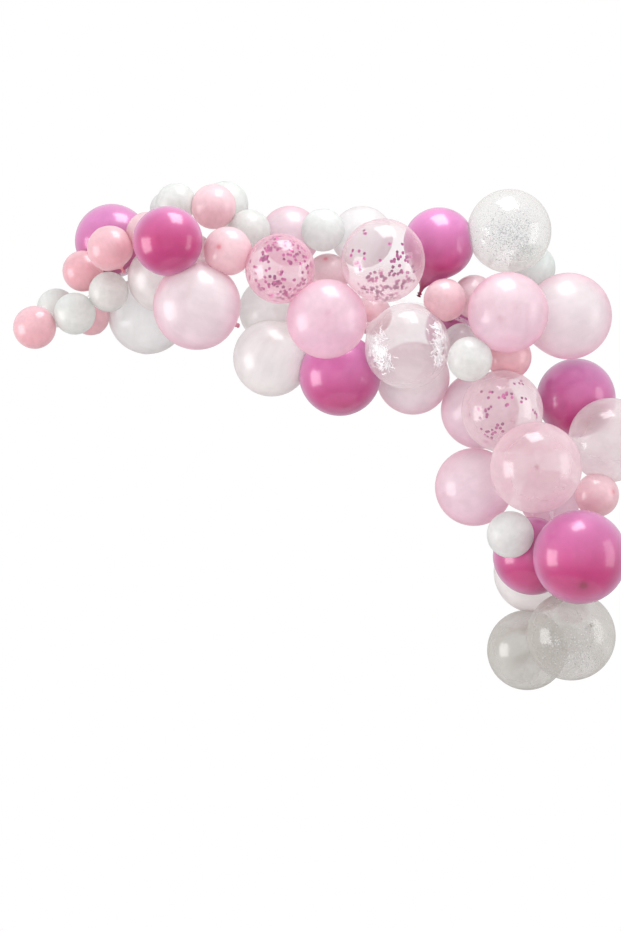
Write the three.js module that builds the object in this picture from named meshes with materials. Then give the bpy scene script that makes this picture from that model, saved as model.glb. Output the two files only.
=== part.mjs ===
// A hanging garland of latex balloons, shaped like a quarter of an arch. Large and small balloons with tied
// necks are packed in front of and behind a clear punched strip that carries them and hangs from hooks.
// Millimetres, +Z up, +X to the viewer's right, and the viewer looks along +Y.
// The origin is on the strip's back face, at the hanging point in the middle of the arch.
import * as THREE from "three";

// The garland is set out as it is seen from this far in front, along a line of sight through SIGHT.
const VIEW_DISTANCE = 9000;
const SIGHT = { across: -283.5, up: -490.5 };

// How far two balloons press into each other, as a share of their radii added up
const PRESS = 0.92;
// How much nearer the viewer a balloon's middle is than the middle of one that it hides
const STEP_FORWARD = 14;
// The gap left between pieces that touch
const GAP = 0.3;

// The strip
const STRIP_WIDTH = 14;
const STRIP_THICKNESS = 1.2;
const HOLE_RADIUS = 3.5;
const HOLE_PITCH = 78;
const HOLE_SIDES = 6;
const END_MARGIN = 20;
const STRIP_STEPS = 34;
const STRIP_PLACES = 400;
// The places on the strip where it hangs: [across, up]. No hole comes nearer to one than HANGING_FLAT.
const HANGING_POINTS = [[-1108, -52], [0, 0], [431, -938]];
const HANGING_FLAT = 15;
// Room kept round the strip's middle line: in front for the necks, behind for the knots and the hooks
const ROOM_IN_FRONT = 10;
const ROOM_BEHIND = 14;
const CLEAR_OF_STRIP = 3;

// The knot and neck, as shares of the knot's length
const KNOT_MIDDLE = 0.4;
const NECK_LENGTHS = 2;
// The tail between the neck and the round body: where it leaves the body, its flare, and where its ring is
const TAIL_ANGLE = THREE.MathUtils.degToRad(50);
const TAIL_FLARE = 1.6;
const TAIL_PULL = 0.12;
const TAIL_RING = 0.6;
// How far the end of the knot is from the middle of the balloon, as shares of its radius
const USUAL_REACH = 1.26;
const SHORTEST_REACH = 1.14;
const LONGEST_REACH = 1.7;
const REACH_STEP = 0.04;
// How strongly the neck of a balloon in front of the strip turns away from the viewer
const TURN_BACK = 0.7;
// The rings of the outline that make up the knot, neck and tail
const NECK_RINGS = 5;
// How many ways are tried for a neck, and what counts against one: its shortness, and being in sight
const NECK_WAYS = 400;
const SHORT_COST = 0.5;
const SIGHT_COST = 1;

// The two sizes of balloon, taken to be sold as 12 inch and 5 inch
const SMALL_UP_TO = 150;
const LARGE = { neckRadius: 5.5, knotRadius: 8, knotLength: 9, sides: 12, rings: 5 };
const SMALL = { neckRadius: 3.5, knotRadius: 5, knotLength: 6, sides: 8, rings: 4 };

const FINISH = {
  hot_pink: { color: 0xc94a86, roughness: 0.22, metalness: 0 },
  pearl_pink: { color: 0xf0c4d2, roughness: 0.25, metalness: 0 },
  pearl_white: { color: 0xece9e8, roughness: 0.25, metalness: 0 },
  clear: { color: 0xf6f4f4, roughness: 0.1, metalness: 0, transparent: true, opacity: 0.35 },
  pink: { color: 0xefb3b8, roughness: 0.35, metalness: 0 },
  white: { color: 0xe9ebe7, roughness: 0.4, metalness: 0 },
  clear_plastic: { color: 0xf2f4f4, roughness: 0.15, metalness: 0, transparent: true, opacity: 0.5 },
};

// The strip's middle line, from its left end over the top of the arch to its lower end: [across, up]
const STRIP_LINE = [
  [-1130, -60],
  [-990, -12],
  [-890, 54],
  [-795, 114],
  [-675, 138],
  [-540, 114],
  [-430, 78],
  [-315, 48],
  [-180, 24],
  [0, 0],
  [110, -28],
  [205, -72],
  [300, -150],
  [375, -270],
  [402, -390],
  [415, -504],
  [440, -639],
  [462, -774],
  [450, -880],
  [430, -960],
];

// The balloons in front of the strip, in the order in which each hides those before it:
// [name, finish, across, up, diameter, way of the neck].
// Across, up and diameter are as seen in the plane of the strip. The way of the neck is where its knot is,
// in radii from the middle: [right, back, up]. It is given where the neck or the crown is seen.
// The others turn their necks to the strip, out of the viewer's sight where they can.
const FRONT = [
  ["small_pink_12", "pink", 312, -165, 135],
  ["small_pink_3", "pink", -966, 93, 123],
  ["pearl_white_6", "pearl_white", -729, 72, 206],
  ["pearl_pink_1", "pearl_pink", -624, -12, 264, [0.93, 0.66, -0.42]],
  ["small_pink_5", "pink", -774, 207, 126],
  ["small_white_4", "white", -687, 297, 120],
  ["small_white_7", "white", -468, 213, 129],
  ["small_white_8", "white", -246, 216, 129],
  ["hot_pink_3", "hot_pink", -195, -219, 246],
  ["hot_pink_4", "hot_pink", 102, 177, 213, [-0.56, 0.03, -1.56]],
  ["pearl_pink_5", "pearl_pink", 491, -42, 260, [-1.14, 0.4, -0.72]],
  ["clear_pearl_1", "clear", 615, -414, 252],
  ["pearl_pink_8", "pearl_pink", 207, -555, 234],
  ["hot_pink_7", "hot_pink", 381, -762, 234],
  ["small_pink_1", "pink", -1111, -76, 129],
  ["small_white_2", "white", -991, -35, 126],
  ["small_white_3", "white", -889, 31, 120],
  ["small_pink_6", "pink", -574, 286, 135],
  ["clear_glitter_1", "clear", 313, 213, 252],
  ["small_pink_4", "pink", -885, 160, 138, [0.61, 0.2, -1.04]],
  ["small_pink_7", "pink", -532, 153, 147, [0.41, 1.18, -0.13]],
  ["clear_confetti_1", "clear", -375, 100, 210],
  ["hot_pink_2", "hot_pink", -712, 183, 210],
  ["pearl_pink_3", "pearl_pink", -235, -51, 240],
  ["clear_confetti_2", "clear", -66, 124, 252],
  ["pearl_pink_4", "pearl_pink", 309, -31, 243],
  ["clear_shred_1", "clear", 6, -132, 258],
  ["small_pink_9", "pink", 120, 6, 129],
  ["clear_confetti_3", "clear", 292, -327, 246],
  ["small_white_9", "white", 195, -171, 135],
  ["small_pink_13", "pink", 576, -579, 132, [-0.83, 0.92, -0.2]],
  ["clear_pearl_2", "clear", 393, -497, 276],
  ["clear_glitter_2", "clear", 498, -1002, 267],
  ["hot_pink_6", "hot_pink", 525, -765, 282, [0, 1.03, 0.72]],
  ["small_white_10", "white", 316, -698, 141],
];

// The balloons behind the strip, in the same form, in the order in which each is hidden by those before it
const BEHIND = [
  ["small_pink_2", "pink", -943, -43, 114],
  ["small_white_1", "white", -1046, -18, 117],
  ["small_white_5", "white", -711, 279, 108],
  ["small_white_6", "white", -540, 292, 141],
  ["pearl_white_1", "pearl_white", -771, -36, 240],
  ["pearl_white_2", "pearl_white", -400, -168, 231],
  ["pearl_white_3", "pearl_white", -399, -24, 198],
  ["hot_pink_1", "hot_pink", -879, 183, 222],
  ["small_pink_8", "pink", -231, 81, 129, [0.15, 0.88, -0.88]],
  ["small_pink_14", "pink", -639, 141, 132],
  ["pearl_pink_2", "pearl_pink", -345, 198, 180],
  ["pearl_white_4", "pearl_white", -129, 195, 186],
  ["small_white_11", "white", 381, 102, 141],
  ["small_pink_10", "pink", 207, 15, 132],
  ["pearl_pink_6", "pearl_pink", 24, -228, 220],
  ["small_pink_11", "pink", -99, -39, 120],
  ["small_pearl_1", "pearl_white", 171, -123, 120],
  ["hot_pink_8", "hot_pink", 150, -84, 180],
  ["pearl_pink_7", "pearl_pink", 225, -324, 234],
  ["hot_pink_5", "hot_pink", 513, -288, 237, [-0.5, 1.05, -0.3]],
  ["pearl_pink_9", "pearl_pink", 435, -594, 180],
  ["clear_pearl_3", "clear", 366, -1044, 240],
  ["pearl_white_5", "pearl_white", 389, -810, 246],
];

// The strip's middle line as a curve, and points spaced along it
function stripCurve() {
  const points = STRIP_LINE.map(([across, up]) => new THREE.Vector3(across, -STRIP_THICKNESS / 2, up));
  return new THREE.CatmullRomCurve3(points, false, "centripetal");
}

// The distance in the picture plane from a point to the nearest of some points
function flatDistance(point, places) {
  return Math.min(...places.map((p) => Math.hypot(p.x - point.x, p.z - point.z)));
}

// How far a point is clear of the strip's band
function clearOfStrip(point, places) {
  const sideways = Math.max(flatDistance(point, places) - STRIP_WIDTH / 2, 0);
  const through = Math.max(Math.abs(point.y + STRIP_THICKNESS / 2) - STRIP_THICKNESS / 2, 0);
  return Math.hypot(sideways, through);
}

// A balloon at some depth, kept where it appears to be from the viewpoint
function seenAt(row, depth) {
  const [name, finish, across, up, diameter, neckWay] = row;
  const scale = 1 + depth / VIEW_DISTANCE;
  return {
    name,
    finish,
    across,
    up,
    seenDiameter: diameter,
    neckWay,
    size: diameter < SMALL_UP_TO ? SMALL : LARGE,
    radius: (diameter / 2) * scale,
    centre: new THREE.Vector3(
      SIGHT.across + (across - SIGHT.across) * scale,
      depth,
      SIGHT.up + (up - SIGHT.up) * scale,
    ),
  };
}

// Moves a balloon away from the strip's plane, forward or back, until it is clear of the strip, only
// presses lightly on the others, and stands in the right order with those that it overlaps to the eye.
function settle(row, way, placed, places) {
  const room = way < 0 ? ROOM_IN_FRONT : ROOM_BEHIND;
  const { across, up, seenDiameter } = seenAt(row, 0);
  const overlapped = placed.filter((o) =>
    Math.hypot(o.across - across, o.up - up) < (o.seenDiameter + seenDiameter) / 2);
  for (let depth = 0; ; depth += way) {
    const balloon = seenAt(row, depth);
    const { centre, radius } = balloon;
    const fromStrip = Math.hypot(flatDistance(centre, places), depth);
    const hits = placed.some((o) => o.centre.distanceTo(centre) < PRESS * (o.radius + radius));
    const inOrder = overlapped.every((o) => way * (depth - o.centre.y) >= STEP_FORWARD);
    if (!hits && inOrder && fromStrip >= radius + room) return balloon;
  }
}

// The planes where a balloon presses on its neighbours, or would if it grew: {way, offset from its centre}
function contactPlanes(balloon, balloons) {
  const near = balloons.filter((o) => o !== balloon && o.centre.distanceTo(balloon.centre)
    < LONGEST_REACH * (o.radius + balloon.radius));
  return near.map((o) => {
    const way = o.centre.clone().sub(balloon.centre);
    const apart = way.length();
    const offset = (apart ** 2 + balloon.radius ** 2 - o.radius ** 2) / (2 * apart);
    return { way: way.divideScalar(apart), offset: offset - GAP / 2 };
  });
}

// The envelope's outline from the knot's end to the crown: (radius, height), with the neck pointing down
function outline(radius, reach, size) {
  const { neckRadius, knotRadius, knotLength, rings } = size;
  const leave = new THREE.Vector2(radius * Math.sin(TAIL_ANGLE), -radius * Math.cos(TAIL_ANGLE));
  const neckTop = NECK_LENGTHS * knotLength - reach;
  const tail = new THREE.QuadraticBezierCurve(
    new THREE.Vector2(neckRadius, neckTop),
    new THREE.Vector2(neckRadius * TAIL_FLARE, (neckTop + leave.y) / 2 - radius * TAIL_PULL),
    leave,
  );
  const points = [
    new THREE.Vector2(0, -reach),
    new THREE.Vector2(knotRadius, knotLength * KNOT_MIDDLE - reach),
    new THREE.Vector2(neckRadius, neckTop),
    tail.getPoint(TAIL_RING),
  ];
  for (let ring = 0; ring < rings; ring++) {
    const angle = TAIL_ANGLE + ((Math.PI - TAIL_ANGLE) * ring) / rings;
    points.push(new THREE.Vector2(radius * Math.sin(angle), -radius * Math.cos(angle)));
  }
  points.push(new THREE.Vector2(0, radius));
  return points;
}

// Ways spread evenly over a sphere
function evenWays(count) {
  const golden = Math.PI * (3 - Math.sqrt(5));
  return Array.from({ length: count }, (_, i) => {
    const up = 1 - (2 * (i + 0.5)) / count;
    const flat = Math.sqrt(1 - up * up);
    return new THREE.Vector3(flat * Math.cos(i * golden), flat * Math.sin(i * golden), up);
  });
}

// True if a neck that points this way and reaches this far stays clear of the strip and of the neighbours.
function neckFits(balloon, way, reach, planes, places) {
  const { size, centre, radius } = balloon;
  const margin = size.knotRadius + GAP;
  const along = (distance) => way.clone().multiplyScalar(distance);
  const inCell = [reach, reach - NECK_LENGTHS * size.knotLength].every((distance) =>
    planes.every((plane) => plane.offset - along(distance).dot(plane.way) > margin));
  if (!inCell) return false;
  return outline(radius, reach, size).slice(0, NECK_RINGS).every((point) => {
    const middle = centre.clone().add(along(-point.y));
    return clearOfStrip(middle, places) > point.x + CLEAR_OF_STRIP;
  });
}

// True if the end of the knot is out of the viewer's sight, behind its own balloon or an opaque one
function knotHidden(balloon, end, balloons) {
  const scale = VIEW_DISTANCE / (VIEW_DISTANCE + end.y);
  const across = SIGHT.across + (end.x - SIGHT.across) * scale;
  const up = SIGHT.up + (end.z - SIGHT.up) * scale;
  return balloons.some((o) => {
    const covers = o.finish !== "clear" || o === balloon;
    const inside = o.seenDiameter / 2 - balloon.size.knotRadius;
    return covers && o.centre.y < end.y && Math.hypot(o.across - across, o.up - up) < inside;
  });
}

// The neck's way and reach: of those with room for the neck, the one nearest the wanted way and reach. A neck
// that isn't known from the view is best out of sight.
function placeNeck(balloon, balloons, planes, places) {
  const { centre, radius, neckWay } = balloon;
  const nearest = places.reduce((a, b) => (a.distanceTo(centre) < b.distanceTo(centre) ? a : b));
  const toStrip = nearest.clone().sub(centre).normalize();
  if (centre.y <= 0) toStrip.y += TURN_BACK;
  const wanted = neckWay ? new THREE.Vector3(...neckWay) : toStrip.setLength(USUAL_REACH);
  const wantedReach = wanted.length();
  wanted.normalize();
  let best = null;
  for (const way of [wanted, ...evenWays(NECK_WAYS)]) {
    for (let share = wantedReach; share >= SHORTEST_REACH; share -= REACH_STEP) {
      const reach = share * radius;
      const end = centre.clone().addScaledVector(way, reach);
      const inSight = !neckWay && !knotHidden(balloon, end, balloons);
      const cost = 1 - way.dot(wanted) + SHORT_COST * (wantedReach - share) + (inSight ? SIGHT_COST : 0);
      if (best && cost >= best.cost) continue;
      if (neckFits(balloon, way, reach, planes, places)) best = { way, reach, cost };
    }
  }
  if (!best) throw new Error(balloon.name + " has no room for its neck");
  return best;
}

function balloonMesh(balloon, balloons, places) {
  const planes = contactPlanes(balloon, balloons);
  const neck = placeNeck(balloon, balloons, planes, places);
  const profile = outline(balloon.radius, neck.reach, balloon.size);
  const geometry = new THREE.LatheGeometry(profile, balloon.size.sides);
  const turn = new THREE.Quaternion().setFromUnitVectors(new THREE.Vector3(0, -1, 0), neck.way);
  const back = turn.clone().invert();
  planes.forEach((plane) => plane.way.applyQuaternion(back));
  const position = geometry.getAttribute("position");
  const vertex = new THREE.Vector3();
  for (let i = 0; i < position.count; i++) {
    vertex.fromBufferAttribute(position, i);
    const shares = planes.map(({ way, offset }) => offset / Math.max(vertex.dot(way), offset));
    vertex.multiplyScalar(Math.min(1, ...shares));
    position.setXYZ(i, vertex.x, vertex.y, vertex.z);
  }
  geometry.computeVertexNormals();
  const mesh = new THREE.Mesh(geometry, new THREE.MeshStandardMaterial(FINISH[balloon.finish]));
  mesh.name = balloon.name;
  mesh.position.copy(balloon.centre);
  mesh.quaternion.copy(turn);
  return mesh;
}

// The strip: a flat band along its middle line, with a row of punched holes that miss the hanging points.
function stripMesh(curve) {
  const edge = [[], []];
  for (let i = 0; i <= STRIP_STEPS; i++) {
    const at = curve.getPointAt(i / STRIP_STEPS);
    const along = curve.getTangentAt(i / STRIP_STEPS);
    [1, -1].forEach((side, k) => {
      const out = side * (STRIP_WIDTH / 2);
      edge[k].push(new THREE.Vector2(at.x - along.z * out, at.z + along.x * out));
    });
  }
  const shape = new THREE.Shape([...edge[0], ...edge[1].reverse()]);
  const length = curve.getLength();
  for (let at = HOLE_PITCH / 2; at < length - END_MARGIN; at += HOLE_PITCH) {
    const middle = curve.getPointAt(at / length);
    const hangs = HANGING_POINTS.some(([across, up]) =>
      Math.hypot(middle.x - across, middle.z - up) < HANGING_FLAT);
    if (hangs) continue;
    const hole = new THREE.Path();
    for (let side = 0; side < HOLE_SIDES; side++) {
      const angle = (2 * Math.PI * side) / HOLE_SIDES;
      const x = middle.x + HOLE_RADIUS * Math.cos(angle);
      const z = middle.z + HOLE_RADIUS * Math.sin(angle);
      if (side === 0) hole.moveTo(x, z);
      else hole.lineTo(x, z);
    }
    hole.closePath();
    shape.holes.push(hole);
  }
  const geometry = new THREE.ExtrudeGeometry(shape, { depth: STRIP_THICKNESS, bevelEnabled: false });
  const mesh = new THREE.Mesh(geometry, new THREE.MeshStandardMaterial(FINISH.clear_plastic));
  mesh.name = "garland_strip";
  mesh.rotation.x = Math.PI / 2;
  return mesh;
}

const curve = stripCurve();
const places = curve.getSpacedPoints(STRIP_PLACES);
const balloons = [];
FRONT.forEach((row) => balloons.push(settle(row, -1, balloons, places)));
BEHIND.forEach((row) => balloons.push(settle(row, 1, balloons, places)));

const garland = new THREE.Group();
garland.add(stripMesh(curve));
balloons.forEach((balloon) => garland.add(balloonMesh(balloon, balloons, places)));

export default garland;
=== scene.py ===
import math
import random

import bpy
import numpy as np
from bpy.props import FloatProperty, FloatVectorProperty, IntProperty, PointerProperty
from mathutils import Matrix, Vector


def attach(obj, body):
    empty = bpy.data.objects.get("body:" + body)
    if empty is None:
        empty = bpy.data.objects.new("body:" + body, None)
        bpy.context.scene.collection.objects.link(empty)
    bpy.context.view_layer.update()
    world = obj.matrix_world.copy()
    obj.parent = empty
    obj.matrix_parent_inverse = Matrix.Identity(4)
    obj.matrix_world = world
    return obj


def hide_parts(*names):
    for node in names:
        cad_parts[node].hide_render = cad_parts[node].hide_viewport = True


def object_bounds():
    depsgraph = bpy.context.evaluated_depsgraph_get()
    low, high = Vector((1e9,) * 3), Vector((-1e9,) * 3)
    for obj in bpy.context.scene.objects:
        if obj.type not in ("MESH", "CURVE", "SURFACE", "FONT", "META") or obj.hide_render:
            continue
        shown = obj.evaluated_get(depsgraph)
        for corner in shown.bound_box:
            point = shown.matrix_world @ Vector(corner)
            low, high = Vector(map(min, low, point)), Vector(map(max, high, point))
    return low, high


bl_info = {
    "name": "Balloon Garland",
    "version": (1, 0, 0),
    "blender": (4, 5, 0),
    "location": "3D View > Sidebar > Garland",
    "description": "Blows up, colours and lights a hanging garland of latex balloons",
    "category": "Object",
}

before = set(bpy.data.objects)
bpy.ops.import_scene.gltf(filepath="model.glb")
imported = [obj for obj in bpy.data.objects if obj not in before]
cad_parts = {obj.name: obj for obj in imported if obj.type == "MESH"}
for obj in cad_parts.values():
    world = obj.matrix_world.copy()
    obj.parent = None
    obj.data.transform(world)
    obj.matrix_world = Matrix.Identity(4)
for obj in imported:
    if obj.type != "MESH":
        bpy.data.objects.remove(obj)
CAD_LOW, CAD_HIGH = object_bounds()

BODY = "root"
STRIP = "garland_strip"
# Balloons narrower than this are the small kind
SMALL_UP_TO = 0.15


# Reading the garland


class Balloon:
    """One balloon of the frame: its middle, radius, the way its neck points and how far its knot reaches."""

    def __init__(self, node):
        points = corners_of(node)
        self.node = node
        self.centre, self.radius = sphere_through_most(points)
        away = points - self.centre
        reach = np.linalg.norm(away, axis=1)
        self.reach = float(reach.max())
        self.neck_way = away[reach.argmax()] / self.reach
        self.small = 2 * self.radius < SMALL_UP_TO
        kind, number = node.rsplit("_", 1)
        self.tone = TONES.get(kind, {}).get(int(number), USUAL_TONE)
        self.seed = sum(ord(c) * (i + 1) for i, c in enumerate(node))


def corners_of(node):
    """The node's corners, each one once."""
    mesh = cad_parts[node].data
    flat = np.empty(3 * len(mesh.vertices), np.float32)
    mesh.vertices.foreach_get("co", flat)
    return np.unique(np.round(flat.reshape(-1, 3).astype(float), 6), axis=0)


def sphere_through_most(points):
    """Centre and radius of the sphere that most of the points lie on. Neck and contact faces lie off it."""
    tries, near = 1500, 2e-5
    rng = np.random.default_rng(7)
    picks = np.array([rng.choice(len(points), 4, replace=False) for _ in range(tries)])
    sets = points[picks]
    sides = 2 * (sets[:, 1:] - sets[:, :1])
    right = (sets[:, 1:] ** 2).sum(2) - (sets[:, :1] ** 2).sum(2)
    solid = np.abs(np.linalg.det(sides)) > 1e-6
    centres = np.linalg.solve(sides[solid], right[solid][..., None])[..., 0]
    radii = np.linalg.norm(sets[solid][:, 0] - centres, axis=1)
    off = np.abs(np.linalg.norm(points[None] - centres[:, None], axis=2) - radii[:, None])
    best = (off < near).sum(1).argmax()
    return centres[best], float(radii[best])


# How deep a balloon's colour is, by kind and number: 0 is the palest of its kind and 1 the deepest. For a
# see-through one it is how pink the haze is. The rest have the usual tone.
TONES = {
    "hot_pink": {1: 0.35, 2: 1.0, 4: 0.4, 6: 0.8, 7: 0.75, 8: 0.3},
    "pearl_pink": {1: 0.2, 3: 0.75, 5: 0.1, 6: 0.05, 9: 0.75},
    "pearl_white": {1: 0.0, 4: 0.0},
    "small_pearl": {1: 0.0},
    "small_pink": {1: 0.8, 2: 0.7, 3: 1.0, 4: 0.8, 6: 0.45, 7: 0.4, 8: 0.3, 10: 0.1, 12: 0.75, 14: 0.3},
    "small_white": {1: 0.6, 3: 0.8, 7: 0.6, 8: 0.3, 11: 0.2},
    "clear_pearl": {1: 0.6, 2: 0.75, 3: 0.1},
    "clear_confetti": {1: 1.0, 2: 0.7, 3: 0.8},
    "clear_glitter": {1: 0.0, 2: 0.1},
    "clear_shred": {1: 0.6},
}
USUAL_TONE = 0.5

BALLOONS = {n: Balloon(n) for n in sorted(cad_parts) if n != STRIP}


def of_kind(prefix):
    """The balloons whose node name is the prefix and a number."""
    return [b for n, b in BALLOONS.items() if n.rsplit("_", 1)[0] == prefix]


# Settings


def setting(kind, **limits):
    """A short call for settings of one kind. It takes the name, the description and the usual value."""
    return lambda name, description, value: kind(name=name, description=description, default=value, **limits)


# Colours are linear, lengths and positions in metres, and shares from 0 to 1
colour = setting(FloatVectorProperty, subtype="COLOR", size=3, min=0.0, max=1.0)
length = setting(FloatProperty, unit="LENGTH", min=0.0)
position = setting(FloatProperty, unit="LENGTH")
turned = setting(FloatProperty, subtype="ANGLE")
share = setting(FloatProperty, min=0.0, max=1.0)
watts = setting(FloatProperty, min=0.0)
segments = setting(IntProperty, min=12)
row_count = setting(IntProperty, min=8)


class GarlandColours(bpy.types.PropertyGroup):
    """The colours of the latex, the confetti and the strip"""

    # Each pale colour is also what the painted top light turns the top of a balloon towards
    hot_pink: colour("Hot Pink", "The deepest of the hot pink pearl balloons", (0.48, 0.018, 0.16))
    hot_pink_pale: colour("Hot Pink, Pale", "The palest of the hot pink pearl balloons", (0.62, 0.18, 0.45))
    hot_pink_thick: colour("Hot Pink, Thick", "Hot pink latex at neck and crown", (0.26, 0.0, 0.05))
    # A painted lilac sheen at the edge of the hot pink
    hot_pink_edge: colour("Hot Pink, Edge", "Hot pink latex seen at a slant", (0.68, 0.24, 0.5))
    pearl_pink: colour("Pearl Pink", "The pinkest of the pale pearl balloons", (0.88, 0.59, 0.72))
    pearl_pink_pale: colour("Pearl Pink, Pale", "The palest of the pale pearl balloons", (0.88, 0.83, 0.84))
    pearl_pink_thick: colour("Pearl Pink, Thick", "Pale pearl latex at neck and crown", (0.75, 0.28, 0.4))
    pearl_pink_edge: colour("Pearl Pink, Edge", "Pale pearl latex seen at a slant", (0.93, 0.55, 0.67))
    pearl_white: colour("Pearl White", "White pearl latex", (0.88, 0.82, 0.81))
    pearl_white_pale: colour("Pearl White, Pale", "The coolest of the white pearl balloons", (0.9, 0.9, 0.9))
    pearl_white_thick: colour("Pearl White, Thick", "White pearl latex at the neck", (0.78, 0.7, 0.66))
    pearl_white_edge: colour("Pearl White, Edge", "White pearl latex seen at a slant", (0.84, 0.78, 0.78))
    haze: colour("Haze", "The cool haze of the see-through balloons", (0.56, 0.57, 0.51))
    haze_pink: colour("Haze, Pink", "The pink haze of the see-through balloons", (0.87, 0.48, 0.6))
    haze_light: colour("Haze, Light", "The milky haze of the palest see-through balloons", (0.95, 0.92, 0.92))
    soft_pink: colour("Soft Pink", "The deepest of the small pink balloons", (0.83, 0.46, 0.51))
    soft_pink_pale: colour("Soft Pink, Pale", "The palest of the small pink balloons", (0.92, 0.76, 0.8))
    soft_pink_thick: colour("Soft Pink, Thick", "Small pink latex at neck and crown", (0.78, 0.26, 0.32))
    # A paler rim of painted sheen on the small pink
    soft_pink_edge: colour("Soft Pink, Edge", "Small pink balloons seen at a slant", (0.95, 0.66, 0.71))
    white: colour("White", "The warmest of the small white balloons", (0.82, 0.79, 0.77))
    white_pale: colour("White, Pale", "The coolest of the small white balloons", (0.83, 0.88, 0.86))
    white_thick: colour("White, Thick", "Small white balloons at the neck", (0.76, 0.76, 0.71))
    white_edge: colour("White, Edge", "Small white balloons seen at a slant", (0.8, 0.84, 0.81))
    pink_confetti: colour("Pink Confetti", "Round dots in the clear balloons", (0.4, 0.04, 0.22))
    silver_confetti: colour("Silver Confetti", "Fine bits in the clear balloons", (0.74, 0.79, 0.83))
    white_confetti: colour("White Confetti", "Shreds in the clear balloons", (0.93, 0.93, 0.94))
    strip: colour("Strip", "Clear pressed plastic", (0.95, 0.96, 0.96))


class GarlandSizes(bpy.types.PropertyGroup):
    """Sizes of the necks, knots and confetti"""

    large_neck: length("Large Neck Radius", "Neck of a large balloon above its knot", 0.0055)
    large_knot: length("Large Knot Radius", "Widest part of a large balloon's knot", 0.008)
    large_knot_length: length("Large Knot Length", "Half the length of a large balloon's knot and lip", 0.009)
    small_neck: length("Small Neck Radius", "Neck of a small balloon above its knot", 0.0035)
    small_knot: length("Small Knot Radius", "Widest part of a small balloon's knot", 0.005)
    small_knot_length: length("Small Knot Length", "Half the length of a small balloon's knot and lip", 0.006)
    tail_angle: turned("Tail Angle", "How far from the neck the round body ends", math.radians(50))
    gap: length("Gap", "Left between two balloons that touch", 0.0003)
    press_softness: length("Press Softness", "How softly a balloon bends where it touches another", 0.0012)
    crown_spot: length("Crown Spot", "Radius of the thick spot on the crown", 0.0062)
    wobble: share("Wobble", "How far from round the body is, as a share of its radius", 0.006)
    dot: length("Confetti Dot", "Radius of a round confetti dot", 0.005)
    sparkle: length("Confetti Bit", "Longest half side of a fine confetti bit", 0.0019)
    shred: length("Confetti Shred", "Length of a paper shred", 0.022)
    rim: length("Hole Rim", "Thickness of the moulded rim round the strip's holes", 0.0009)


class GarlandDetail(bpy.types.PropertyGroup):
    """How finely the meshes are made"""

    large_around: segments("Large Segments", "Segments round a large balloon", 72)
    small_around: segments("Small Segments", "Segments round a small balloon", 52)
    body_rows: row_count("Body Rows", "Rows from the tail to the crown", 40)


class GarlandStage(bpy.types.PropertyGroup):
    """Floor, light and camera"""

    view_distance: length("View Distance", "From the camera to the strip", 9.0)
    view_height: length("View Height", "What the picture takes in, from top to bottom, at the strip", 2.793)
    sight_across: position("Sight Across", "How far to the right the camera looks", -0.2835)
    sight_up: position("Sight Up", "How high the camera looks", -0.4905)
    floor_drop: length("Floor Drop", "From the garland's lowest point to the floor", 0.95)
    floor_radius: length("Floor Radius", "Radius of the round floor", 1.5)
    top_light: watts("Top Light", "Power of the soft box above", 40.0)
    front_light: watts("Front Light", "Power of the large soft box in front", 110.0)
    left_light: watts("Left Light", "Power of the tall soft box at the left", 125.0)
    right_light: watts("Right Light", "Power of the soft box at the right", 26.0)
    surroundings: share("Surroundings", "Brightness of the white room", 0.9)


SETTINGS = {
    "garland_colours": GarlandColours,
    "garland_sizes": GarlandSizes,
    "garland_detail": GarlandDetail,
    "garland_stage": GarlandStage,
}


def colours():
    return bpy.context.scene.garland_colours


def sizes():
    return bpy.context.scene.garland_sizes


# The shape of a balloon


def eased(x):
    """0 to 1 with a soft start and end."""
    x = np.clip(x, 0.0, 1.0)
    return x * x * (3 - 2 * x)


def cubic(points, count):
    """Points along a cubic curve with four control points, without the last."""
    t = (np.arange(count) / count)[:, None]
    a, b, c, d = (np.array(p) for p in points)
    return (1 - t) ** 3 * a + 3 * (1 - t) ** 2 * t * b + 3 * (1 - t) * t**2 * c + t**3 * d


def smooth_through(points, steps):
    """A smooth line through points, with a few steps between each two."""
    p = np.array([points[0], *points, points[-1]], float)
    out = []
    for i in range(1, len(p) - 2):
        for t in np.arange(steps) / steps:
            a, b, c, d = p[i - 1 : i + 3]
            bend, twist = 2 * a - 5 * b + 4 * c - d, 3 * b - a - 3 * c + d
            out.append(0.5 * (2 * b + (c - a) * t + bend * t**2 + twist * t**3))
    return np.array(out)


def knot_outline(neck, knot, half, reach):
    """The tied knot and rolled lip, from the lip's end to the neck, as (radius, distance along the neck)."""
    end = reach - 0.05 * half
    return smooth_through(
        [
            (0.0004, end - 0.25 * half),
            (0.55 * knot, end - 0.12 * half),
            (0.86 * knot, end),
            (0.98 * knot, end - 0.14 * half),
            (0.8 * knot, end - 0.3 * half),
            (0.62 * neck, end - 0.5 * half),
            (0.7 * knot, end - 0.68 * half),
            (knot, end - 0.95 * half),
            (0.72 * knot, end - 1.3 * half),
            (0.75 * neck, end - 1.55 * half),
            (neck, reach - 2 * half),
        ],
        3,
    )


def outline(balloon, rows):
    """The envelope's outline from the lip to the crown, and where on it the round body starts."""
    s = sizes()
    kind = ("small" if balloon.small else "large") + "_"
    neck, knot, half = (getattr(s, kind + part) for part in ("neck", "knot", "knot_length"))
    r, angle = balloon.radius, s.tail_angle
    tie = knot_outline(neck, knot, half, balloon.reach)
    start = np.array((neck, balloon.reach - 2 * half))
    leave = np.array((r * math.sin(angle), r * math.cos(angle)))
    span = np.linalg.norm(leave - start)
    along = np.array((math.cos(angle), -math.sin(angle)))
    tail = cubic((start, start - (0, 0.22 * span), leave - 0.48 * span * along, leave), rows // 3)
    angles = np.linspace(angle, math.pi, rows)
    body = np.stack([r * np.sin(angles), r * np.cos(angles)], axis=1)
    return np.concatenate([tie[:-1], tail, body]), len(tie) - 1 + len(tail)


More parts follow.
